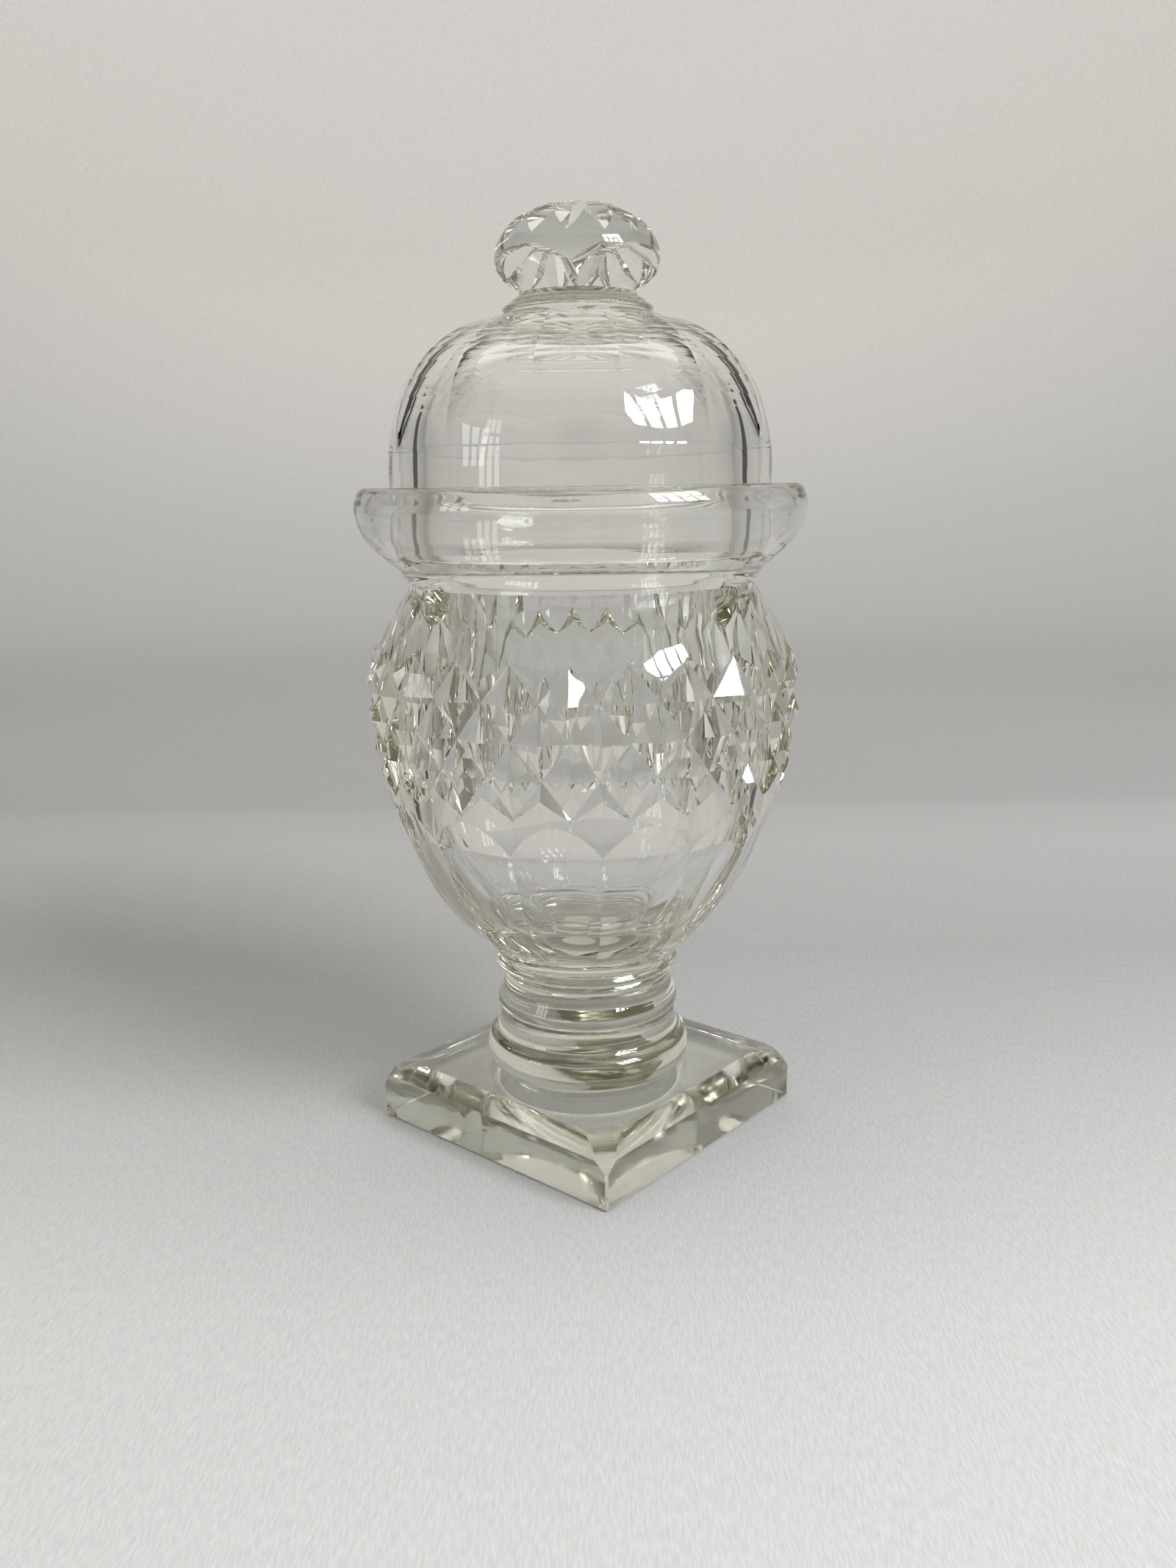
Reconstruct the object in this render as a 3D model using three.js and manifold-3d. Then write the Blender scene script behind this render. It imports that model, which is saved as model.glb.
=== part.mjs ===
// Covered powder jar in clear cut crystal: a footed, galleried jar and its domed lid.
// Millimetres, +Z up, origin at the centre of the foot's underside.
// Azimuth is measured about Z from -Y towards +X.
import * as THREE from 'three';
import { mergeVertices } from 'three/addons/utils/BufferGeometryUtils.js';
import Module from 'manifold-3d';

const wasm = await Module();
wasm.setup();

// ---------------------------------------------------------------- driving dimensions
const SEGMENTS = 48; // round surfaces; a multiple of the 24 diamonds
const DEGREE = Math.PI / 180;

const FOOT_SIDE = 65;
const FOOT_EDGE_HEIGHT = 10; // vertical sides, ground flat up to a crisp edge
const FOOT_CORNER_HEIGHT = 7.6; // where that edge dips at the corners
const FOOT_TOP = 12.8; // plateau that carries the stem
const FOOT_SHOULDER = 5; // width of the convex band from the crisp edge in to the plateau

const BASE_RING_TOP = 25.6;
const MIDDLE_RING_TOP = 33.2;
const STEM_TOP = 37.6;
const BOWL_TOP = 118.1; // the sharp waist
const NECK_RING_TOP = 121.4;
const SEAT = 124.5; // ledge inside the gallery, on which the lid rests
const LIP_TOP = 137.5;

const MOUTH_RADIUS = 31.4;
const LID_GAP = 0.2; // under the lid's rim
const LID_RIM = SEAT + LID_GAP;
const DOME_TOP = 170;
const LID_RING_TOP = 174.4;
const KNOB_TOP = 190.6;

const DIAMONDS = 24; // around the bowl
const DIAMOND_ROW_STEP = 7.15; // half a diamond's height
const DIAMOND_MIDDLE = 92;
const DIAMOND_DEPTH = 2.3;
const PEAK_CLEARANCE = 0.12; // points stay this far inside the blown surface

const PANELS = 14; // flutes under the bowl, panels on the dome, mitres on the knob
const FLUTE_AZIMUTH = 20 * DEGREE;
const FLUTE_TOP = 76.5; // where the flutes run out, just under the diamonds
const PANEL_AZIMUTH = 14.6 * DEGREE;
const MITRE_AZIMUTH = 8.5 * DEGREE;
const KNOB_FACETS = 4; // large flats under the knob
const KNOB_FACET_AZIMUTH = 41 * DEGREE;

// ---------------------------------------------------------------- outlines and solids
const line = (r, z) => (path) => path.lineTo(r, z);
const curve = (...points) => (path) => {
  path.splineThru(points.map(([r, z]) => new THREE.Vector2(r, z)));
};

// Radius and height pairs along an outline that starts at `start`, with the given number of
// steps from each point of a curve to the next.
function outline(steps, start, ...moves) {
  const path = new THREE.Path();
  path.moveTo(...start);
  for (const move of moves) move(path);
  return path.getPoints(steps);
}

// A body of revolution about Z; few segments make it a faceted prism.
function turned(points, segments = SEGMENTS, azimuth = 0) {
  return new THREE.LatheGeometry(points, segments, azimuth).rotateX(Math.PI / 2);
}

function toSolid(geometry) {
  const bare = geometry.clone();
  bare.deleteAttribute('normal');
  bare.deleteAttribute('uv');
  const merged = mergeVertices(bare, 1e-4);
  const index = merged.index.array;
  const triVerts = [];
  for (let i = 0; i < index.length; i += 3) {
    const [a, b, c] = [index[i], index[i + 1], index[i + 2]];
    if (a !== b && b !== c && c !== a) triVerts.push(a, b, c);
  }
  return new wasm.Manifold(new wasm.Mesh({
    numProp: 3,
    vertProperties: merged.attributes.position.array,
    triVerts: new Uint32Array(triVerts),
  }));
}

function toGeometry(solid) {
  const mesh = solid.getMesh();
  const geometry = new THREE.BufferGeometry();
  geometry.setAttribute('position', new THREE.BufferAttribute(mesh.vertProperties, 3));
  geometry.setIndex(new THREE.BufferAttribute(mesh.triVerts, 1));
  geometry.computeVertexNormals();
  return geometry;
}

// A turned prism whose flat faces have the given distance from the axis, height by height.
function prism(apothems, sides, azimuth) {
  const toCorner = 1 / Math.cos(Math.PI / sides);
  const points = apothems.map(([apothem, z]) => new THREE.Vector2(apothem * toCorner, z));
  return turned(points, sides, azimuth);
}

// ---------------------------------------------------------------- foot
// A pressed square slab with an elliptic shoulder, its sides then ground back to the foot's size.
function footGeometry() {
  const ground = 1.5; // taken off each side
  const half = FOOT_SIDE / 2 + ground;
  const shoulder = FOOT_SHOULDER + ground;
  const cosine = 1 - ground / shoulder;
  const shoulderHeight = (FOOT_TOP - FOOT_EDGE_HEIGHT) / (1 - Math.sqrt(1 - cosine * cosine));
  const square = new THREE.Shape();
  square.moveTo(-half, -half);
  square.lineTo(half, -half);
  square.lineTo(half, half);
  square.lineTo(-half, half);
  square.closePath();
  const depth = FOOT_TOP; // reaches below the underside, which is then cut flat
  const slab = new THREE.ExtrudeGeometry(square, {
    depth,
    bevelThickness: shoulderHeight,
    bevelSize: shoulder,
    bevelOffset: -shoulder,
    bevelSegments: 8,
  });
  slab.translate(0, 0, FOOT_TOP - shoulderHeight - depth);
  const sides = new THREE.BoxGeometry(FOOT_SIDE, FOOT_SIDE, 2 * FOOT_TOP);
  sides.translate(0, 0, FOOT_TOP);
  const corner = FOOT_SIDE * Math.SQRT1_2 - 0.3;
  const roundedCorners = turned(outline(
    1,
    [0, -1],
    line(corner, -1),
    line(corner, FOOT_CORNER_HEIGHT),
    curve([corner - 1.2, 9.3], [corner - 3.4, 11.2], [corner - 7, 12.4], [corner - 11, FOOT_TOP + 0.1]),
    line(0, FOOT_TOP + 0.1),
  ));
  return toGeometry(toSolid(slab).intersect(toSolid(sides)).intersect(toSolid(roundedCorners)));
}

// ---------------------------------------------------------------- stem
// A torus with a cove above it.
function baseRingGeometry() {
  return turned(outline(
    1,
    [0, FOOT_TOP],
    line(20.6, FOOT_TOP),
    curve([21.8, 14], [22.3, 16.4], [21.9, 18.6], [21.2, 19.8], [20.3, 20.6]),
    curve([19.7, 21.6], [19.4, 23.2], [19.3, BASE_RING_TOP - 0.4]),
    line(18.7, BASE_RING_TOP),
    line(0, BASE_RING_TOP),
  ));
}

// A cove that widens downwards into a torus with a crisp lower edge.
function middleRingGeometry() {
  return turned(outline(
    1,
    [0, BASE_RING_TOP],
    line(18.7, BASE_RING_TOP),
    line(19.4, BASE_RING_TOP + 0.4),
    curve([19.8, 26.8], [19.7, 28.2], [19.1, 29.6]),
    curve([18.5, 30.8], [18.2, 31.9], [18.1, MIDDLE_RING_TOP - 0.2]),
    line(17.8, MIDDLE_RING_TOP),
    line(0, MIDDLE_RING_TOP),
  ));
}

// A narrow fillet between two fine grooves, and the cushion under the bowl.
function topRingGeometry() {
  return turned(outline(
    1,
    [0, MIDDLE_RING_TOP],
    line(17.8, MIDDLE_RING_TOP),
    line(18.3, MIDDLE_RING_TOP + 0.5),
    curve([18.4, 34.1], [18.2, 34.5]),
    line(17.8, 34.8),
    line(18, 35.2),
    line(19.4, 35.6),
    curve([19.9, 36.1], [19.8, 36.7], [19.2, STEM_TOP]),
    line(0, STEM_TOP),
  ));
}

// ---------------------------------------------------------------- bowl
const BOWL_OUTLINE = [
  [19.2, STEM_TOP], [21.2, 41], [27.3, 46.2], [33.2, 54.5], [38.4, 66.5],
  [42.2, 77], [44.7, 88], [45.4, 96], [44.6, 102], [41.7, 108.3], [38.7, 113.2], [35.5, BOWL_TOP],
];
const bowlCurve = new THREE.SplineCurve(BOWL_OUTLINE.map(([r, z]) => new THREE.Vector2(r, z)));

// Radius of the uncut bowl at height z.
function bowlRadius(z) {
  let low = 0;
  let high = 1;
  while (high - low > 1e-5) {
    const middle = (low + high) / 2;
    if (bowlCurve.getPoint(middle).y < z) low = middle;
    else high = middle;
  }
  return bowlCurve.getPoint(low).x;
}

// The surface of four-sided points, as a closed faceted drum. Grooves cross at the valleys; each
// diamond has a peak in its middle, level with the valleys at its sides.
function diamondDrum() {
  const columns = 2 * DIAMONDS;
  const outside = 70;
  const rows = [{ z: STEM_TOP - 5, valley: outside, peak: outside }];
  for (let row = -3; row <= 3; row += 1) {
    const z = DIAMOND_MIDDLE + row * DIAMOND_ROW_STEP;
    const blank = bowlRadius(z);
    const runOut = Math.abs(row);
    if (runOut < 2) {
      rows.push({ z, valley: blank - DIAMOND_DEPTH, peak: blank - PEAK_CLEARANCE });
    } else if (runOut === 2) {
      rows.push({ z, valley: blank - 0.3, peak: blank + 2.6 });
    } else {
      rows.push({ z, valley: blank + 5, peak: blank + 3 });
    }
  }
  rows.push({ z: BOWL_TOP + 5, valley: outside, peak: outside });

  const positions = [];
  rows.forEach(({ z, valley, peak }, row) => {
    for (let column = 0; column < columns; column += 1) {
      const azimuth = (column / columns) * 2 * Math.PI;
      const radius = (column + row) % 2 === 1 ? valley : peak;
      positions.push(radius * Math.sin(azimuth), -radius * Math.cos(azimuth), z);
    }
  });
  const bottomCentre = positions.length / 3;
  positions.push(0, 0, rows[0].z);
  const topCentre = bottomCentre + 1;
  positions.push(0, 0, rows[rows.length - 1].z);

  const index = [];
  for (let row = 0; row < rows.length - 1; row += 1) {
    for (let column = 0; column < columns; column += 1) {
      const next = (column + 1) % columns;
      const [a, b] = [row * columns + column, row * columns + next];
      const [c, d] = [a + columns, b + columns];
      const valleyAtA = (column + row) % 2 === 1;
      if (valleyAtA) index.push(a, b, d, a, d, c);
      else index.push(a, b, c, b, d, c);
    }
  }
  const lastRow = (rows.length - 1) * columns;
  for (let column = 0; column < columns; column += 1) {
    const next = (column + 1) % columns;
    index.push(bottomCentre, next, column);
    index.push(topCentre, lastRow + column, lastRow + next);
  }
  const drum = new THREE.BufferGeometry();
  drum.setAttribute('position', new THREE.BufferAttribute(new Float32Array(positions), 3));
  drum.setIndex(index);
  return drum;
}

// Broad flat flutes from the stem to just under the diamonds.
function fluteDrum() {
  const shrink = Math.cos(Math.PI / PANELS);
  const apothems = [[0, STEM_TOP - 5], [21, STEM_TOP - 5], [21, 40.2]];
  for (const z of [43, 46.2, 50, 54.5, 60, 66]) {
    apothems.push([(bowlRadius(z) - 0.08) * shrink, z]);
  }
  apothems.push([bowlRadius(72) - 0.6, 72], [bowlRadius(FLUTE_TOP) + 0.1, FLUTE_TOP]);
  apothems.push([52, 81], [60, BOWL_TOP + 5], [0, BOWL_TOP + 5]);
  return prism(apothems, PANELS, FLUTE_AZIMUTH);
}

function bowlGeometry() {
  const outer = BOWL_OUTLINE.slice(1);
  const blank = turned(outline(
    2,
    [0, STEM_TOP],
    line(...BOWL_OUTLINE[0]),
    curve(...outer),
    line(MOUTH_RADIUS, BOWL_TOP),
    curve(
      [31.6, 109], [31.7, 101], [32.2, 92], [32.6, 80], [30.8, 65], [22.8, 52.3], [11, 46.5],
    ),
    line(0, 45.8),
  ));
  return toGeometry(toSolid(blank).intersect(toSolid(diamondDrum())).intersect(toSolid(fluteDrum())));
}

// ---------------------------------------------------------------- neck ring and gallery
function neckRingGeometry() {
  return turned(outline(
    1,
    [MOUTH_RADIUS, BOWL_TOP],
    line(35.5, BOWL_TOP),
    curve([36.3, 119.5], [37.7, NECK_RING_TOP]),
    line(MOUTH_RADIUS, NECK_RING_TOP),
    line(MOUTH_RADIUS, BOWL_TOP),
  ));
}

function galleryGeometry() {
  return turned(outline(
    1,
    [MOUTH_RADIUS, NECK_RING_TOP],
    line(37.7, NECK_RING_TOP),
    curve([39.8, 123.1], [44, 127.3], [45.8, 131.6], [46, 134.2], [45.2, 136.6], [44.2, LIP_TOP]),
    curve([43.2, 137], [43, 134.5], [42.3, 131], [41.1, 127.8], [39.9, 125.6], [39.3, SEAT]),
    line(32.2, SEAT),
    line(MOUTH_RADIUS, SEAT - 0.8),
    line(MOUTH_RADIUS, NECK_RING_TOP),
  ));
}

// ---------------------------------------------------------------- lid
const DOME_OUTLINE = [
  [38.7, LID_RIM + 2], [38.7, 138], [38.7, 143], [37.9, 150], [35.4, 157.6], [31, 163.4],
  [25.4, 167.2], [18.5, 169.4], [14.2, DOME_TOP],
];

// A round wall; the panels fade in at its top and cover the shoulder.
function domeGeometry() {
  const blank = turned(outline(
    1,
    [32.2, LID_RIM],
    line(37.4, LID_RIM),
    line(...DOME_OUTLINE[0]),
    curve(...DOME_OUTLINE.slice(1)),
    line(0, DOME_TOP),
    line(0, 163.2),
    curve([13, 162.7], [21, 161.4], [26.4, 157.6], [29.8, 151], [31.2, 143], [31.6, LID_RIM + 1]),
    line(32.2, LID_RIM),
  ));
  const shrink = Math.cos(Math.PI / PANELS);
  const skin = 0.08;
  const panels = prism([
    [0, LID_RIM - 5], [44, LID_RIM - 5], [44, 141], [39, 145],
    [37.5, 150], [(35.4 - skin) * shrink, 157.6], [(31 - skin) * shrink, 163.4],
    [(25.4 - skin) * shrink, 167.2], [(18.5 - skin) * shrink, 169.4],
    [15.2, DOME_TOP + 2], [0, DOME_TOP + 2],
  ], PANELS, PANEL_AZIMUTH);
  return toGeometry(toSolid(blank).intersect(toSolid(panels)));
}

function lidRingGeometry() {
  return turned(outline(
    1,
    [0, DOME_TOP],
    line(13.4, DOME_TOP),
    curve([14.7, 170.7], [15, 171.6], [14.3, 172.3]),
    line(13.8, 172.4),
    curve([13.4, 173], [12.6, 173.5]),
    line(11.8, LID_RING_TOP),
    line(0, LID_RING_TOP),
  ));
}

// A V-shaped bar that cuts one mitre across the knob's upper edge, running out at both ends.
function mitreBar(azimuth) {
  const outer = new THREE.Vector3(0, -15.4, 184.1);
  const inner = new THREE.Vector3(0, -5, KNOB_TOP + 0.2);
  const height = 8;
  const halfWidth = height * Math.tan(62 * DEGREE);
  const section = new THREE.Shape();
  section.moveTo(0, 0);
  section.lineTo(halfWidth, height);
  section.lineTo(-halfWidth, height);
  section.closePath();
  const along = inner.clone().sub(outer).normalize();
  const across = new THREE.Vector3(1, 0, 0);
  const up = new THREE.Vector3().crossVectors(along, across);
  if (up.z < 0) up.negate();
  const overrun = 6;
  const length = inner.distanceTo(outer) + 2 * overrun;
  const bar = new THREE.ExtrudeGeometry(section, { depth: length, bevelEnabled: false });
  const side = new THREE.Vector3().crossVectors(up, along);
  const frame = new THREE.Matrix4().makeBasis(side, up, along);
  frame.setPosition(outer.clone().addScaledVector(along, -overrun));
  return bar.applyMatrix4(frame).rotateZ(azimuth);
}

function knobGeometry() {
  const blank = turned(outline(
    1,
    [0, LID_RING_TOP],
    line(11.4, LID_RING_TOP),
    curve(
      [13.4, 175.9], [15.7, 178.2], [16.4, 181], [15.7, 184],
      [13.7, 186.8], [10.6, 189.2], [7, 190.4], [0, KNOB_TOP],
    ),
  ));
  const facets = prism(
    [[0, 168], [0.5, 168], [10.6, 177], [16.4, 182], [40, 202], [0, 202]],
    KNOB_FACETS,
    KNOB_FACET_AZIMUTH,
  );
  let knob = toSolid(blank).intersect(toSolid(facets));
  for (let cut = 0; cut < PANELS; cut += 1) {
    const azimuth = MITRE_AZIMUTH + (cut / PANELS) * 2 * Math.PI;
    knob = knob.subtract(toSolid(mitreBar(azimuth)));
  }
  return toGeometry(knob);
}

// ---------------------------------------------------------------- assembly
const part = new THREE.Group();

function add(name, geometry, color, parent = part) {
  const material = new THREE.MeshStandardMaterial({ color, roughness: 0.04, metalness: 0 });
  const mesh = new THREE.Mesh(geometry, material);
  mesh.name = name;
  parent.add(mesh);
}

const jar = new THREE.Group();
add('foot', footGeometry(), 0xd9dad2, jar);
add('stem_base_ring', baseRingGeometry(), 0xdcddd6, jar);
add('stem_middle_ring', middleRingGeometry(), 0xdfe0da, jar);
add('stem_top_ring', topRingGeometry(), 0xdfe0da, jar);
add('bowl', bowlGeometry(), 0xe3e5e2, jar);
add('neck_ring', neckRingGeometry(), 0xe0e2de, jar);
add('gallery_rim', galleryGeometry(), 0xe1e3e0, jar);
part.add(jar);

const lid = new THREE.Group();
add('lid_dome', domeGeometry(), 0xe2e4e2, lid);
add('lid_neck_ring', lidRingGeometry(), 0xdfe1dc, lid);
add('knob', knobGeometry(), 0xe3e5e3, lid);
part.add(lid);

export default part;
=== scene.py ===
"""Covered powder jar in clear cut crystal: the looks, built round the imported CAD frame.

The maker fused the jar's parts hot, so light meets no surface between foot, stem, bowl and rim.
Each loose piece is therefore one continuous glass body here, with the CAD's outlines and cuts.
Azimuth is measured about Z from -Y towards +X, as in the CAD.
"""

import math

import bmesh
import bpy
from mathutils import Matrix, Vector


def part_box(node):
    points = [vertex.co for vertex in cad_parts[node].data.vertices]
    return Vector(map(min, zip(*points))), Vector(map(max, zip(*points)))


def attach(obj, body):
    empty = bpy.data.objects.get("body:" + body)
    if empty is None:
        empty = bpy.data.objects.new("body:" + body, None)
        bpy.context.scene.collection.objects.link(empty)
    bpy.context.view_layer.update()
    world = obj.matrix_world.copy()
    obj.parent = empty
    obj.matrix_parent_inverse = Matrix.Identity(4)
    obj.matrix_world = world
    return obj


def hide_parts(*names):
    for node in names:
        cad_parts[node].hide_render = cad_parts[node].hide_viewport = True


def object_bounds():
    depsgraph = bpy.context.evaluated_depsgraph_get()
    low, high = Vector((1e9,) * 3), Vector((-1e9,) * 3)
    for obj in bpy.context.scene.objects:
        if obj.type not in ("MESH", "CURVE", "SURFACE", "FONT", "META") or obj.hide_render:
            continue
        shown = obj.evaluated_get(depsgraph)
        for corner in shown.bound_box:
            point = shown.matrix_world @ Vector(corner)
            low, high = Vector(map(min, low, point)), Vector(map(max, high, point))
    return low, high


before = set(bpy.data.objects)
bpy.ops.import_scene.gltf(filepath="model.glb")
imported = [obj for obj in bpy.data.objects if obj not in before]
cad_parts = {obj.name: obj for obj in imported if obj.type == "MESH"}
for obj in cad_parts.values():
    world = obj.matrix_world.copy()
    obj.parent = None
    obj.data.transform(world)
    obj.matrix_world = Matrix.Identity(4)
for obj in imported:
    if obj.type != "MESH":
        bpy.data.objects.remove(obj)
CAD_LOW, CAD_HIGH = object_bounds()

MM = 0.001
SEGMENTS = 288           # round the turned surfaces; a multiple of the 24 diamonds
STEPS = 10               # from one outline point to the next

# Heights in millimetres, from the frame
FOOT_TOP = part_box("foot")[1].z / MM
STEM_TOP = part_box("bowl")[0].z / MM
BOWL_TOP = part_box("bowl")[1].z / MM
LIP_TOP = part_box("gallery_rim")[1].z / MM
LID_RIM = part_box("lid_dome")[0].z / MM
DOME_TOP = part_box("lid_dome")[1].z / MM
KNOB_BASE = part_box("knob")[0].z / MM
KNOB_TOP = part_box("knob")[1].z / MM
FOOT_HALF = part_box("foot")[1].x / MM

FOOT_EDGE_HEIGHT = 10.0
FOOT_SHOULDER = 5.0
FOOT_CORNER_HEIGHT = 7.6
SEAT = LID_RIM - 0.2
MOUTH_RADIUS = 31.4

DIAMONDS = 24
DIAMOND_ROW_STEP = 7.15
DIAMOND_MIDDLE = 92.0
DIAMOND_DEPTH = 2.3

PANELS = 14
FLUTE_AZIMUTH = math.radians(20)
FLUTE_TOP = 76.5
PANEL_AZIMUTH = math.radians(14.6)
MITRE_AZIMUTH = math.radians(8.5)
KNOB_FACETS = 4
KNOB_FACET_AZIMUTH = math.radians(41)
MITRE_HALF_ANGLE = math.radians(62)
FAR = 70.0               # radius that clears every part of the object


# ------------------------------------------------------------------ outlines
def spline(points, steps=STEPS):
    """Catmull-Rom curve through (radius, height) points, as a list without the first point."""
    made = []
    for i in range(len(points) - 1):
        p0 = points[max(i - 1, 0)]
        p1, p2 = points[i], points[i + 1]
        p3 = points[min(i + 2, len(points) - 1)]
        for step in range(1, steps + 1):
            t = step / steps
            made.append(tuple(
                0.5 * (2 * b + (c - a) * t + (2 * a - 5 * b + 4 * c - d) * t * t
                       + (3 * b - a - 3 * c + d) * t ** 3)
                for a, b, c, d in zip(p0, p1, p2, p3)
            ))
    return made


def outline(start, *moves):
    """Joins straight moves, given as one point, and curves, given as a list of points."""
    path = [start]
    for move in moves:
        if isinstance(move, list):
            path.extend(spline([path[-1]] + move))
        else:
            path.append(move)
    return path


BOWL_OUTLINE = [
    (19.2, STEM_TOP), (21.2, 41), (27.3, 46.2), (33.2, 54.5), (38.4, 66.5),
    (42.2, 77), (44.7, 88), (45.4, 96), (44.6, 102), (41.7, 108.3), (38.7, 113.2), (35.5, BOWL_TOP),
]
BOWL_FINE = [BOWL_OUTLINE[0]] + spline(BOWL_OUTLINE, 40)


def bowl_radius(z):
    """Radius of the uncut bowl at height z."""
    for (r0, z0), (r1, z1) in zip(BOWL_FINE, BOWL_FINE[1:]):
        if z0 <= z <= z1:
            return r0 + (r1 - r0) * (z - z0) / (z1 - z0)
    return BOWL_FINE[-1][0] if z > BOWL_TOP else BOWL_FINE[0][0]


# ------------------------------------------------------------------ solids
def add_object(name, bm):
    bmesh.ops.recalc_face_normals(bm, faces=bm.faces)
    mesh = bpy.data.meshes.new(name)
    bm.to_mesh(mesh)
    bm.free()
    made = bpy.data.objects.new(name, mesh)
    bpy.context.scene.collection.objects.link(made)
    return made


def turned(name, points, segments=SEGMENTS, azimuth=0.0):
    """Closed body of revolution about Z from (radius, height) points in millimetres."""
    bm = bmesh.new()
    rings = []
    for r, z in points:
        if r < 1e-6:
            rings.append([bm.verts.new((0, 0, z * MM))])
            continue
        ring = []
        for i in range(segments):
            a = azimuth + 2 * math.pi * i / segments
            ring.append(bm.verts.new((r * MM * math.sin(a), -r * MM * math.cos(a), z * MM)))
        rings.append(ring)
    pairs = list(zip(rings, rings[1:]))
    if len(rings[0]) > 1:
        pairs.append((rings[-1], rings[0]))
    for low, high in pairs:
        for i in range(segments):
            j = (i + 1) % segments
            if len(low) == 1 and len(high) == 1:
                break
            if len(low) == 1:
                bm.faces.new((low[0], high[j], high[i]))
            elif len(high) == 1:
                bm.faces.new((low[i], low[j], high[0]))
            else:
                bm.faces.new((low[i], low[j], high[j], high[i]))
    return add_object(name, bm)


def prism(name, apothems, sides, azimuth):
    """Turned prism whose flat faces have the given distances from the axis."""
    to_corner = 1 / math.cos(math.pi / sides)
    return turned(name, [(a * to_corner, z) for a, z in apothems], sides, azimuth)


def combine(body, other, operation):
    """Cuts or joins body with other and removes other."""
    cut = body.modifiers.new("cut", "BOOLEAN")
    cut.operation = operation
    cut.object = other
    cut.solver = "MANIFOLD"
    graph = bpy.context.evaluated_depsgraph_get()
    mesh = bpy.data.meshes.new_from_object(body.evaluated_get(graph))
    body.modifiers.remove(cut)
    old = body.data
    body.data = mesh
    bpy.data.meshes.remove(old)
    bpy.data.meshes.remove(other.data)


def finish_surface(body, crease=6.0):
    """Smooth shading on blown and turned surfaces, crisp edges where a wheel cut."""
    bm = bmesh.new()
    bm.from_mesh(body.data)
    bmesh.ops.remove_doubles(bm, verts=bm.verts, dist=2e-6)
    bmesh.ops.dissolve_degenerate(bm, edges=bm.edges, dist=1e-7)
    bmesh.ops.triangulate(bm, faces=bm.faces)
    bm.to_mesh(body.data)
    bm.free()
    body.data.materials.clear()
    body.data.shade_smooth()
    body.data.set_sharp_from_angle(angle=math.radians(crease))


# ------------------------------------------------------------------ the jar
def rounded_square(half, corner, z, corner_steps=8):
    points = []
    for quarter in range(4):
        for step in range(corner_steps + 1):
            a = math.radians(90 * (quarter + step / corner_steps))
            cx = (half - corner) * (1 if quarter in (0, 3) else -1)
            cy = (half - corner) * (1 if quarter in (0, 1) else -1)
            x, y = cx + corner * math.cos(a), cy + corner * math.sin(a)
            points.append((x * MM, y * MM, z * MM))
    return points


def make_foot():
    """Square plate with flat ground sides, a crisp edge that dips at the corners and a soft shoulder."""
    ground = 1.5             # how far the sides were ground back into the shoulder's curve
    shoulder = FOOT_SHOULDER + ground
    start = math.acos(1 - ground / shoulder)
    height = (FOOT_TOP - FOOT_EDGE_HEIGHT) / (1 - math.sin(start))
    levels = [(FOOT_HALF - 0.35, 0.5, 0.0), (FOOT_HALF, 0.6, 0.3), (FOOT_HALF, 0.6, FOOT_EDGE_HEIGHT)]
    for step in range(1, 17):
        a = start + (math.pi / 2 - start) * step / 16
        inset = shoulder * (1 - math.cos(a)) - ground
        levels.append((FOOT_HALF - inset, 0.6, FOOT_TOP - height * (1 - math.sin(a))))
    bm = bmesh.new()
    rings = [[bm.verts.new(p) for p in rounded_square(*level)] for level in levels]
    for low, high in zip(rings, rings[1:]):
        for i in range(len(low)):
            j = (i + 1) % len(low)
            bm.faces.new((low[i], low[j], high[j], high[i]))
    bm.faces.new(list(reversed(rings[0])))
    bm.faces.new(rings[-1])
    foot = add_object("jar_glass", bm)
    corner = FOOT_HALF * math.sqrt(2) - 0.3
    combine(foot, turned("foot_corners", outline(
        (0, -1),
        (corner + 0.2, -1),
        (corner, FOOT_CORNER_HEIGHT),
        [(corner - 1.2, 9.3), (corner - 3.4, 11.2), (corner - 7, 12.4), (corner - 11, FOOT_TOP + 0.1)],
        (0, FOOT_TOP + 0.1),
    )), "INTERSECT")
    return foot


def diamond_drum():
    """Surface of four-sided points; grooves cross at the valleys, peaks stand between them."""
    rows = [(-20, FAR, FAR), (STEM_TOP - 5, FAR, FAR)]
    for row in range(-3, 4):
        z = DIAMOND_MIDDLE + row * DIAMOND_ROW_STEP
        blank = bowl_radius(z)
        if abs(row) < 2:
            rows.append((z, blank - DIAMOND_DEPTH, blank - 0.04))
        elif abs(row) == 2:
            rows.append((z, blank - 0.3, blank + 2.6))
        else:
            rows.append((z, blank + 5, blank + 3))
    rows += [(BOWL_TOP + 5, FAR, FAR), (200, FAR, FAR)]
    bm = bmesh.new()
    columns = 2 * DIAMONDS
    grid = []
    for row, (z, valley, peak) in enumerate(rows):
        ring = []
        for column in range(columns):
            a = 2 * math.pi * column / columns
            r = (valley if (column + row) % 2 == 0 else peak) * MM
            ring.append(bm.verts.new((r * math.sin(a), -r * math.cos(a), z * MM)))
        grid.append(ring)
    for row, (low, high) in enumerate(zip(grid, grid[1:])):
        for i in range(columns):
            j = (i + 1) % columns
            if (i + row) % 2 == 0:
                bm.faces.new((low[i], low[j], high[j]))
                bm.faces.new((low[i], high[j], high[i]))
            else:
                bm.faces.new((low[i], low[j], high[i]))
                bm.faces.new((low[j], high[j], high[i]))
    bm.faces.new(list(reversed(grid[0])))
    bm.faces.new(grid[-1])
    return add_object("diamond_drum", bm)


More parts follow.
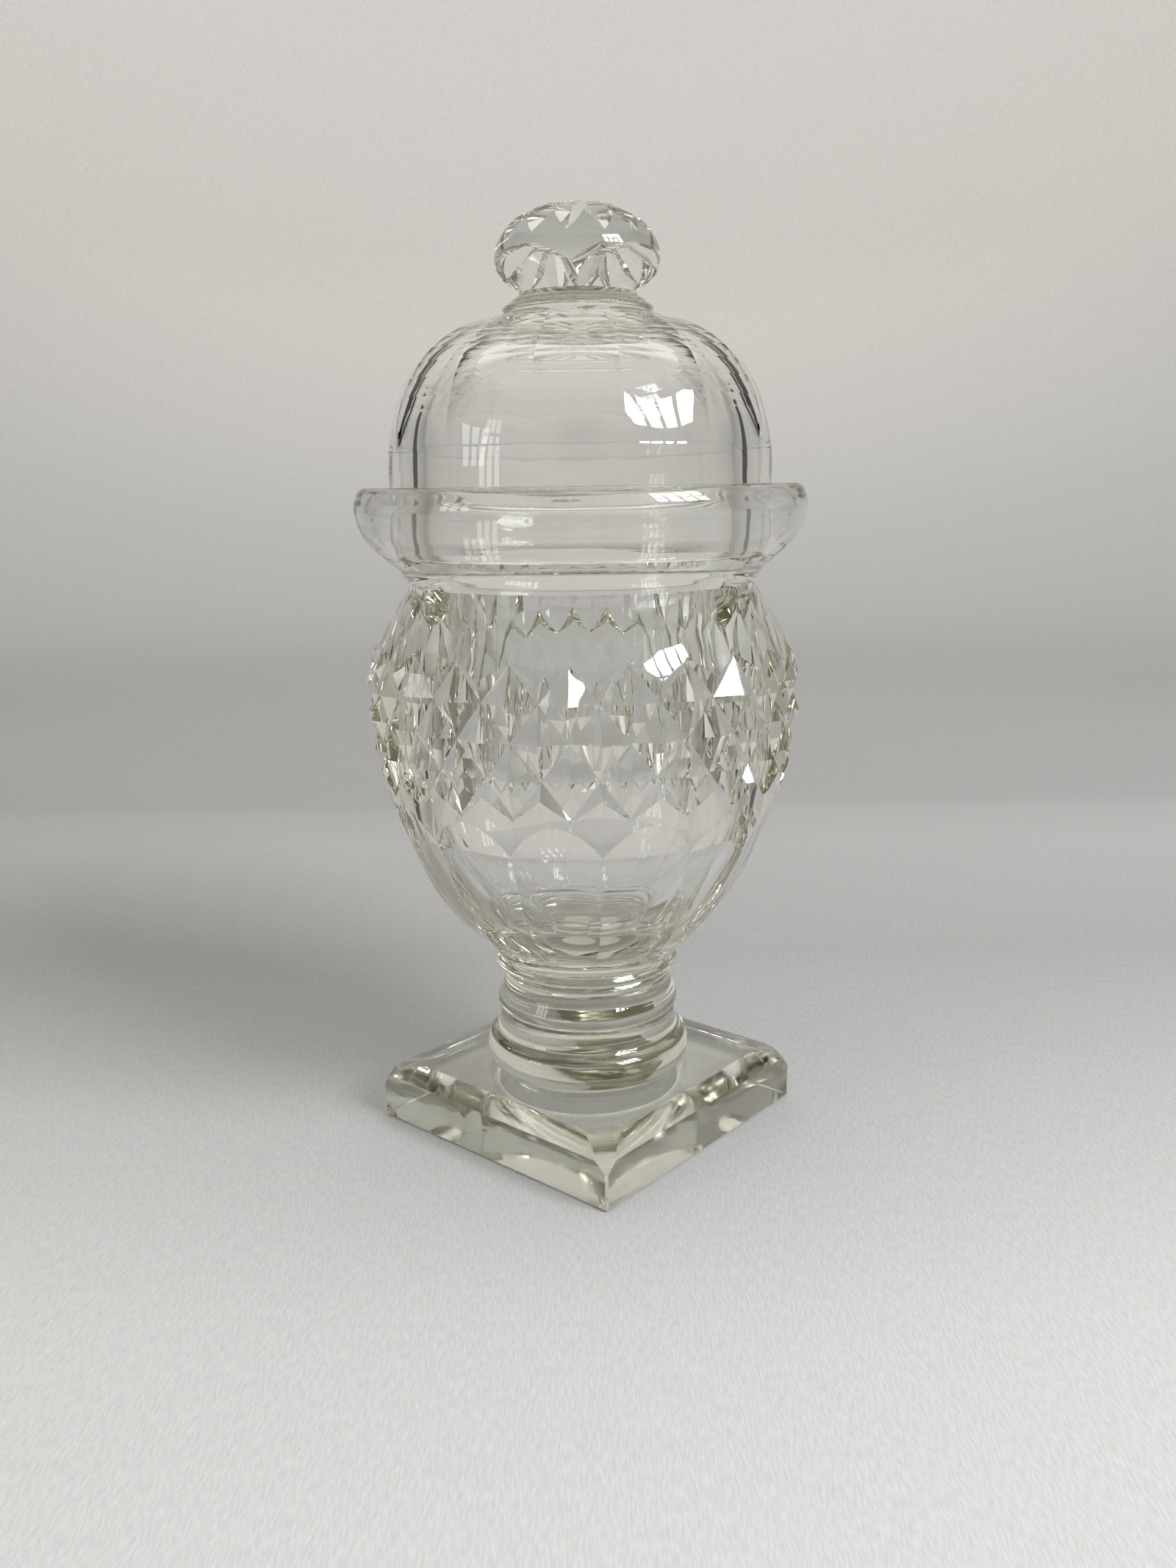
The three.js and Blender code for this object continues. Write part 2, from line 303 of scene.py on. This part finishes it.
def flute_drum():
    shrink = math.cos(math.pi / PANELS)
    apothems = [(0, -20), (FAR, -20), (FAR, 30), (23, 34), (21, 40.2)]
    for z in (41.5, 43, 44.6, 46.2, 48, 50, 52, 54.5, 57, 60, 63, 66, 69):
        apothems.append(((bowl_radius(z) - 0.05) * shrink, z))
    apothems += [(bowl_radius(72) - 0.6, 72), (bowl_radius(74.5) - 0.2, 74.5)]
    apothems += [(bowl_radius(FLUTE_TOP) + 0.1, FLUTE_TOP), (52, 81)]
    apothems += [(FAR, BOWL_TOP + 5), (FAR, 200), (0, 200)]
    return prism("flute_drum", apothems, PANELS, FLUTE_AZIMUTH)


def make_jar():
    body = make_foot()
    base = outline(
        (0, FOOT_TOP - 2),
        (20.6, FOOT_TOP - 2),
        (20.6, FOOT_TOP),
        [(21.8, 14.0), (22.3, 16.4), (21.9, 18.6), (21.2, 19.8), (20.3, 20.6)],
        [(19.7, 21.6), (19.4, 23.2), (19.3, 25.2)],
        (18.7, 25.6),
        (19.4, 26.0),
        [(19.8, 26.8), (19.7, 28.2), (19.1, 29.6), (18.5, 30.8), (18.2, 31.9), (18.1, 33.0)],
        (17.8, 33.2),
        (18.3, 33.7),
        [(18.4, 34.1), (18.2, 34.5)],
        (17.8, 34.8),
        (18.0, 35.2),
        (19.4, 35.6),
        [(19.9, 36.1), (19.8, 36.7), (19.2, STEM_TOP)],
        BOWL_OUTLINE[1:],
        [(36.3, 119.5), (37.7, 121.4), (39.8, 123.1), (44, 127.3), (45.8, 131.6), (46, 134.2),
         (45.2, 136.6), (44.2, LIP_TOP)],
        [(43.2, 137), (43, 134.5), (42.3, 131), (41.1, 127.8), (39.9, 125.6), (39.3, SEAT)],
        (32.4, SEAT),
        [(31.6, SEAT - 0.8), (31.4, 121.4), (MOUTH_RADIUS, BOWL_TOP), (31.6, 109), (31.7, 101),
         (32.2, 92), (32.6, 80), (30.8, 65), (22.8, 52.3), (11, 46.5), (0, 45.8)],
    )
    combine(body, turned("turned_jar", base), "UNION")
    combine(body, diamond_drum(), "INTERSECT")
    combine(body, flute_drum(), "INTERSECT")
    finish_surface(body)
    return body


# ------------------------------------------------------------------ the lid
def panel_drum():
    """Fourteen panels, nearly polished away on the upright wall and crisp on the shoulder."""
    across = 16  # steps across one panel
    skin = 0.05
    # radius of the round lid, height, and how flat the panel is there
    rows = [(FAR, 100, 0), (FAR, 138, 0), (39.2, 142.5, 0), (38.6, 145, 0.08), (38.4, 147, 0.2),
            (37.9, 150, 0.38), (36.9, 154, 0.6), (35.4, 157.6, 0.8),
            (33.4, 160.7, 0.9), (31, 163.4, 1), (28.3, 165.5, 1), (25.4, 167.2, 1), (22, 168.5, 1),
            (18.5, 169.4, 1), (16.2, DOME_TOP + 0.4, 0), (FAR, DOME_TOP + 3, 0), (FAR, 220, 0)]
    columns = PANELS * across
    half = math.pi / PANELS
    bm = bmesh.new()
    grid = []
    for radius, z, flat in rows:
        ring = []
        for column in range(columns):
            from_middle = ((column % across) / across - 0.5) * 2 * half
            panel = math.cos(half) / math.cos(from_middle)
            r = (radius - (skin if flat else 0)) * (1 + flat * (panel - 1)) * MM
            a = PANEL_AZIMUTH - half + 2 * math.pi * column / columns
            ring.append(bm.verts.new((r * math.sin(a), -r * math.cos(a), z * MM)))
        grid.append(ring)
    for low, high in zip(grid, grid[1:]):
        for i in range(columns):
            j = (i + 1) % columns
            bm.faces.new((low[i], low[j], high[j], high[i]))
    bm.faces.new(list(reversed(grid[0])))
    bm.faces.new(grid[-1])
    return add_object("panel_drum", bm)


def knob_flats():
    apothems = [(0, 100), (FAR, 100), (FAR, 174.2), (7.7, 174.45), (10.6, 177), (16.4, 182),
                (40, 202), (0, 202)]
    return prism("knob_flats", apothems, KNOB_FACETS, KNOB_FACET_AZIMUTH)


def mitre_bar(azimuth):
    """A V-shaped bar that cuts one mitre across the knob's upper edge."""
    outer = Vector((0, -15.4, 184.1)) * MM
    inner = Vector((0, -5, KNOB_TOP + 0.2)) * MM
    along = (inner - outer).normalized()
    across = Vector((1, 0, 0))
    up = along.cross(across)
    if up.z < 0:
        up.negate()
    height = 8 * MM
    half_width = height * math.tan(MITRE_HALF_ANGLE)
    overrun = 6 * MM
    turn = Matrix.Rotation(azimuth, 3, "Z")
    bm = bmesh.new()
    ends = []
    for end in (outer - along * overrun, inner + along * overrun):
        corners = (end, end + across * half_width + up * height, end - across * half_width + up * height)
        ends.append([bm.verts.new(turn @ corner) for corner in corners])
    for i in range(3):
        j = (i + 1) % 3
        bm.faces.new((ends[0][i], ends[0][j], ends[1][j], ends[1][i]))
    bm.faces.new(list(reversed(ends[0])))
    bm.faces.new(ends[1])
    return add_object("mitre_bar", bm)


def make_lid():
    lid = turned("lid_glass", outline(
        (32.2, LID_RIM),
        (37.4, LID_RIM),
        [(38.3, LID_RIM + 0.5), (38.7, LID_RIM + 2)],
        (38.7, 138),
        [(38.7, 143), (37.9, 150), (35.4, 157.6), (31, 163.4), (25.4, 167.2), (18.5, 169.4),
         (14.2, DOME_TOP)],
        (13.8, DOME_TOP + 0.1),
        [(14.7, 170.7), (15, 171.6), (14.3, 172.3)],
        (13.8, 172.4),
        [(13.4, 173), (12.6, 173.5)],
        (11.8, KNOB_BASE),
        (11.4, KNOB_BASE + 0.1),
        [(13.4, 175.9), (15.7, 178.2), (16.4, 181), (15.7, 184), (13.7, 186.8), (10.6, 189.2),
         (7, 190.4), (0, KNOB_TOP)],
        (0, 163.2),
        [(13, 162.7), (21, 161.4), (26.4, 157.6), (29.8, 151), (31.2, 143), (31.5, 131),
         (31.6, LID_RIM + 1)],
        (32.2, LID_RIM),
    ))
    combine(lid, panel_drum(), "INTERSECT")
    combine(lid, knob_flats(), "INTERSECT")
    for cut in range(PANELS):
        combine(lid, mitre_bar(MITRE_AZIMUTH + 2 * math.pi * cut / PANELS), "DIFFERENCE")
    finish_surface(lid)
    return lid


# ------------------------------------------------------------------ materials
class Nodes:
    """Short way to add and join shader nodes."""

    def __init__(self, name):
        self.material = bpy.data.materials.new(name)
        self.material.use_nodes = True
        self.tree = self.material.node_tree
        self.tree.nodes.clear()
        self.output = self.add("ShaderNodeOutputMaterial")

    def add(self, kind, **values):
        node = self.tree.nodes.new(kind)
        for key, value in values.items():
            setattr(node, key, value)
        return node

    def join(self, source, target):
        self.tree.links.new(source, target)

    def remap(self, source, start, end, low=0.0, high=1.0, smooth=False):
        """Takes source from start..end to low..high, and stops at both ends."""
        kind = "SMOOTHSTEP" if smooth else "LINEAR"
        node = self.add("ShaderNodeMapRange", interpolation_type=kind)
        for socket, value in (("From Min", start), ("From Max", end), ("To Min", low), ("To Max", high)):
            node.inputs[socket].default_value = value
        self.join(source, node.inputs["Value"])
        return node.outputs["Result"]

    def noise(self, place, scale, detail):
        node = self.add("ShaderNodeTexNoise")
        node.inputs["Scale"].default_value = scale
        node.inputs["Detail"].default_value = detail
        self.join(place, node.inputs["Vector"])
        return node.outputs["Fac"]

    def bump(self, height, strength, distance, surface):
        node = self.add("ShaderNodeBump")
        node.inputs["Strength"].default_value = strength
        node.inputs["Distance"].default_value = distance
        self.join(height, node.inputs["Height"])
        self.join(node.outputs["Normal"], surface.inputs["Normal"])

    def blend(self, factor, colour, other):
        """Colour where factor is 0, the fixed other colour where it is 1."""
        node = self.add("ShaderNodeMix", data_type="RGBA")
        self.join(factor, node.inputs["Factor"])
        self.join(colour, node.inputs["A"])
        node.inputs["B"].default_value = (*other, 1)
        return node.outputs["Result"]


def crystal(name, tint, density):
    """Clear lead crystal: polished, faintly uneven, with wiping marks and a scuffed underside."""
    nodes = Nodes(name)
    glass = nodes.add("ShaderNodeBsdfPrincipled")
    glass.inputs["Base Color"].default_value = (1, 1, 1, 1)
    glass.inputs["Transmission Weight"].default_value = 1.0
    glass.inputs["IOR"].default_value = 1.54
    place = nodes.add("ShaderNodeTexCoord").outputs["Object"]

    wiped = nodes.remap(nodes.noise(place, 55, 3), 0.45, 0.75, 0.0, 0.03)
    scuffed = nodes.remap(nodes.noise(place, 160, 5), 0.3, 0.7, 0.0, 0.14)
    split = nodes.add("ShaderNodeSeparateXYZ")
    nodes.join(place, split.inputs["Vector"])
    underside = nodes.remap(split.outputs["Z"], 0.0006, 0.0001)
    rough = nodes.add("ShaderNodeMix", data_type="FLOAT")
    nodes.join(underside, rough.inputs["Factor"])
    nodes.join(wiped, rough.inputs["A"])
    nodes.join(scuffed, rough.inputs["B"])
    nodes.join(rough.outputs["Result"], glass.inputs["Roughness"])

    nodes.bump(nodes.noise(place, 70, 1), 1.0, 0.00012, glass)
    nodes.join(glass.outputs["BSDF"], nodes.output.inputs["Surface"])

    inside = nodes.add("ShaderNodeVolumeAbsorption")
    inside.inputs["Color"].default_value = (*tint, 1)
    inside.inputs["Density"].default_value = density
    nodes.join(inside.outputs["Volume"], nodes.output.inputs["Volume"])
    return nodes.material


def painted_light_and_shade_ramp(nodes, distance):
    """The cloth's painted light and shade at a distance, from the table of greys below."""
    first, last = PAINTED_LIGHT_AND_SHADE[0][0], PAINTED_LIGHT_AND_SHADE[-1][0]
    painted_tone = nodes.add("ShaderNodeValToRGB")
    ramp = painted_tone.color_ramp
    while len(ramp.elements) > 1:
        ramp.elements.remove(ramp.elements[-1])
    for i, (mark_distance, grey, warmth) in enumerate(PAINTED_LIGHT_AND_SHADE):
        where = (mark_distance - first) / (last - first)
        mark = ramp.elements[0] if i == 0 else ramp.elements.new(where)
        mark.position = where
        mark.color = (grey * (1 + warmth), grey, grey * (1 - warmth), 1)
    nodes.join(nodes.remap(distance, first, last), painted_tone.inputs["Fac"])
    return painted_tone.outputs["Color"]


def cloth():
    """Pale cloth with painted light and shade: painted lighter near the viewer, painted greyer behind,
    painted dim at the viewer's back where the glass reflects it, and painted lighter under the foot.
    """
    nodes = Nodes("pale_cloth")
    surface = nodes.add("ShaderNodeBsdfPrincipled")
    surface.inputs["Roughness"].default_value = 0.8
    turn = nodes.add("ShaderNodeVectorRotate", rotation_type="Z_AXIS")
    turn.inputs["Angle"].default_value = -CAMERA_AZIMUTH
    nodes.join(nodes.add("ShaderNodeTexCoord").outputs["Object"], turn.inputs["Vector"])
    place = turn.outputs["Vector"]   # X to the viewer's right, Y away, Z up
    split = nodes.add("ShaderNodeSeparateXYZ")
    nodes.join(place, split.inputs["Vector"])
    length = nodes.add("ShaderNodeVectorMath", operation="LENGTH")
    nodes.join(place, length.inputs[0])
    from_middle = length.outputs["Value"]

    # Painted light and shade: the cloth's grey follows distance behind the jar plus height
    away = nodes.add("ShaderNodeMath", operation="ADD")
    nodes.join(split.outputs["Y"], away.inputs[0])
    nodes.join(split.outputs["Z"], away.inputs[1])
    colour = painted_light_and_shade_ramp(nodes, away.outputs[0])

    # Painted shade: the cloth at the viewer's back and sides is painted dim, as a dark room for the
    # glass to reflect
    room = nodes.add("ShaderNodeMath", operation="MULTIPLY")
    nodes.join(nodes.remap(split.outputs["Y"], 0.75, 0.35, smooth=True), room.inputs[0])
    nodes.join(nodes.remap(from_middle, 0.55, 1.05, smooth=True), room.inputs[1])
    colour = nodes.blend(room.outputs[0], colour, (0.27, 0.25, 0.22))
    # Painted light: the cloth under the foot is painted paler, against the shade the glass casts there
    painted_light_under_foot = nodes.remap(from_middle, 0.036, 0.020, smooth=True)
    colour = nodes.blend(painted_light_under_foot, colour, (0.80, 0.80, 0.77))

    # A faint glow under the stem stands in for the light that the thick glass gathers there
    surface.inputs["Emission Color"].default_value = (1.0, 0.99, 0.95, 1)
    gathered = nodes.remap(from_middle, 0.0214, 0.0198, 0.0, 0.25)
    nodes.join(gathered, surface.inputs["Emission Strength"])

    threads = nodes.add("ShaderNodeVectorMath", operation="MULTIPLY")
    threads.inputs[1].default_value = (2300, 420, 420)
    nodes.join(place, threads.inputs[0])
    weave = nodes.noise(threads.outputs[0], 1, 2)
    flecked = nodes.add("ShaderNodeVectorMath", operation="SCALE")
    nodes.join(colour, flecked.inputs[0])
    nodes.join(nodes.remap(weave, 0.3, 0.7, 0.93, 1.07), flecked.inputs["Scale"])
    nodes.join(flecked.outputs["Vector"], surface.inputs["Base Color"])
    nodes.bump(weave, 0.35, 0.0002, surface)
    nodes.join(surface.outputs["BSDF"], nodes.output.inputs["Surface"])
    return nodes.material


# Painted light and shade on the cloth: distance behind the jar plus height (m), painted grey, and how
# much warmer than grey
PAINTED_LIGHT_AND_SHADE = (
    (-0.20, 0.74, 0.0),
    (-0.08, 0.68, 0.0),
    (-0.03, 0.59, 0.0),
    (0.03, 0.50, 0.0),
    (0.10, 0.43, 0.0),
    (0.22, 0.49, 0.0),
    (0.272, 0.47, 0.0),
    # painted shade: a darker step where the floor would meet a wall
    (0.288, 0.43, 0.0),
    (0.76, 0.49, 0.0),
    (1.22, 0.65, 0.0),
    (1.57, 0.86, 0.03),
    (1.87, 0.92, 0.02),
    (2.20, 0.92, 0.02),
)


# ------------------------------------------------------------------ stage, lights and camera
def make_stage():
    """A round floor that sweeps up into a wall all round."""
    flat, sweep, top, gap = 0.90, 0.40, 1.30, 0.0003
    around = 96
    points = [(0.02, -gap), (flat, -gap)]
    for step in range(1, 17):
        a = 0.5 * math.pi * step / 16
        points.append((flat + sweep * math.sin(a), sweep * (1 - math.cos(a)) - gap))
    points.append((flat + sweep, top))
    bm = bmesh.new()
    centre = bm.verts.new((0, 0, -gap))
    rings = []
    for r, z in points:
        ring = []
        for i in range(around):
            a = 2 * math.pi * i / around
            ring.append(bm.verts.new((r * math.sin(a), -r * math.cos(a), z)))
        rings.append(ring)
    for i in range(around):
        j = (i + 1) % around
        bm.faces.new((centre, rings[0][i], rings[0][j]))
        for low, high in zip(rings, rings[1:]):
            bm.faces.new((low[i], low[j], high[j], high[i]))
    mesh = bpy.data.meshes.new("floor")
    bm.to_mesh(mesh)
    bm.free()
    floor = bpy.data.objects.new("floor", mesh)
    bpy.context.scene.collection.objects.link(floor)
    floor.data.shade_smooth()
    floor.data.materials.append(cloth())


PANE_PITCH_ACROSS = 1.5  # from pane to pane, in pane widths
PANE_PITCH_UP = 1.2      # and in pane heights


def soft_light(name, azimuth, elevation, distance, size, radiance, colour=(1, 1, 1)):
    """Rectangular light aimed at the object's middle. Azimuth 0 is the viewer's side, + to the right."""
    centre = (CAD_LOW + CAD_HIGH) / 2
    a, e = math.radians(azimuth) + CAMERA_AZIMUTH, math.radians(elevation)
    away = Vector((math.sin(a) * math.cos(e), -math.cos(a) * math.cos(e), math.sin(e)))
    lamp = bpy.data.lights.new(name, "AREA")
    lamp.shape = "RECTANGLE"
    lamp.size, lamp.size_y = size
    lamp.energy = radiance * math.pi * size[0] * size[1]
    lamp.color = colour
    made = bpy.data.objects.new(name, lamp)
    made.location = centre + away * distance
    made.rotation_euler = (-away).to_track_quat("-Z", "Y").to_euler()
    made.visible_camera = False
    bpy.context.scene.collection.objects.link(made)


def window(name, azimuth, elevation, distance, columns, rows, pane, radiance, colour):
    """A window of separate panes, each a rectangular light, with glazing bars between them."""
    step_across = math.degrees(pane[0] * PANE_PITCH_ACROSS / distance)
    step_up = math.degrees(pane[1] * PANE_PITCH_UP / distance)
    for column in range(columns):
        for row in range(rows):
            soft_light(
                f"{name}_{column}_{row}",
                azimuth + (column - (columns - 1) / 2) * step_across,
                elevation + (row - (rows - 1) / 2) * step_up,
                distance, pane, radiance, colour,
            )


CAMERA_AZIMUTH = math.radians(40.94)
CAMERA_DISTANCE = 0.2743  # along the ground from the jar's axis
EYE_HEIGHT = 0.1380
CAMERA_PITCH = math.radians(12.97)
CAMERA_YAW = math.radians(0.155)
CAMERA_ROLL = math.radians(-0.76)
LENS = 30.02             # on a sensor whose long side is 36 mm


def make_camera():
    data = bpy.data.cameras.new("camera")
    data.lens = LENS
    data.sensor_width = 36
    data.clip_start = 0.01
    camera = bpy.data.objects.new("camera", data)
    out = Vector((math.sin(CAMERA_AZIMUTH), -math.cos(CAMERA_AZIMUTH), 0))
    camera.location = out * CAMERA_DISTANCE + Vector((0, 0, EYE_HEIGHT))
    aim = (Matrix.Rotation(CAMERA_AZIMUTH - CAMERA_YAW, 4, "Z")
           @ Matrix.Rotation(math.pi / 2 - CAMERA_PITCH, 4, "X")
           @ Matrix.Rotation(CAMERA_ROLL, 4, "Z"))
    camera.rotation_euler = aim.to_euler()
    bpy.context.scene.collection.objects.link(camera)
    bpy.context.scene.camera = camera


def make_world():
    world = bpy.data.worlds.new("room")
    world.use_nodes = True
    background = world.node_tree.nodes["Background"]
    background.inputs["Color"].default_value = (0.92, 0.90, 0.86, 1)
    background.inputs["Strength"].default_value = 0.95
    bpy.context.scene.world = world


def make_lights():
    window("window_right", 52.5, 33, 1.15, 4, 2, (0.10, 0.175), 22.0, (0.95, 0.98, 1.0))
    window("window_left", -62, 14, 1.15, 3, 2, (0.075, 0.185), 4.0, (1.0, 0.99, 0.96))


def make_flags():
    """Dark cards at both sides, out of the picture, that draw the edges of the glass."""
    card = Nodes("dark_card")
    surface = card.add("ShaderNodeBsdfPrincipled")
    surface.inputs["Base Color"].default_value = (0.035, 0.024, 0.017, 1)
    surface.inputs["Roughness"].default_value = 0.9
    card.join(surface.outputs["BSDF"], card.output.inputs["Surface"])
    width, height, bottom, distance = 0.04, 0.16, 0.11, 0.40
    for name, azimuth in (("flag_left", -126), ("flag_right", 126)):
        a = math.radians(azimuth) + CAMERA_AZIMUTH
        centre = Vector((math.sin(a), -math.cos(a), 0)) * distance + Vector((0, 0, bottom))
        side = Vector((math.cos(a), math.sin(a), 0)) * width / 2
        rise = Vector((0, 0, height))
        corners = (centre - side, centre + side, centre + side + rise, centre - side + rise)
        bm = bmesh.new()
        bm.faces.new([bm.verts.new(corner) for corner in corners])
        flag = add_object(name, bm)
        flag.data.materials.append(card.material)
        flag.visible_camera = False
        flag.visible_diffuse = False
        flag.visible_shadow = False


make_camera()
jar = make_jar()
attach(jar, "jar")
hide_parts("foot", "stem_base_ring", "stem_middle_ring", "stem_top_ring",
            "bowl", "neck_ring", "gallery_rim")
jar.data.materials.append(crystal("crystal_jar", (0.84, 0.835, 0.75), 20.0))
lid = make_lid()
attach(lid, "lid")
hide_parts("lid_dome", "lid_neck_ring", "knob")
lid.data.materials.append(crystal("crystal_lid", (0.86, 0.86, 0.79), 20.0))
make_stage()
make_world()
make_lights()
make_flags()

scene = bpy.context.scene
scene.cycles.max_bounces = 32
scene.cycles.transmission_bounces = 32
scene.cycles.glossy_bounces = 12
scene.cycles.use_denoising = True
scene.view_settings.view_transform = "Standard"
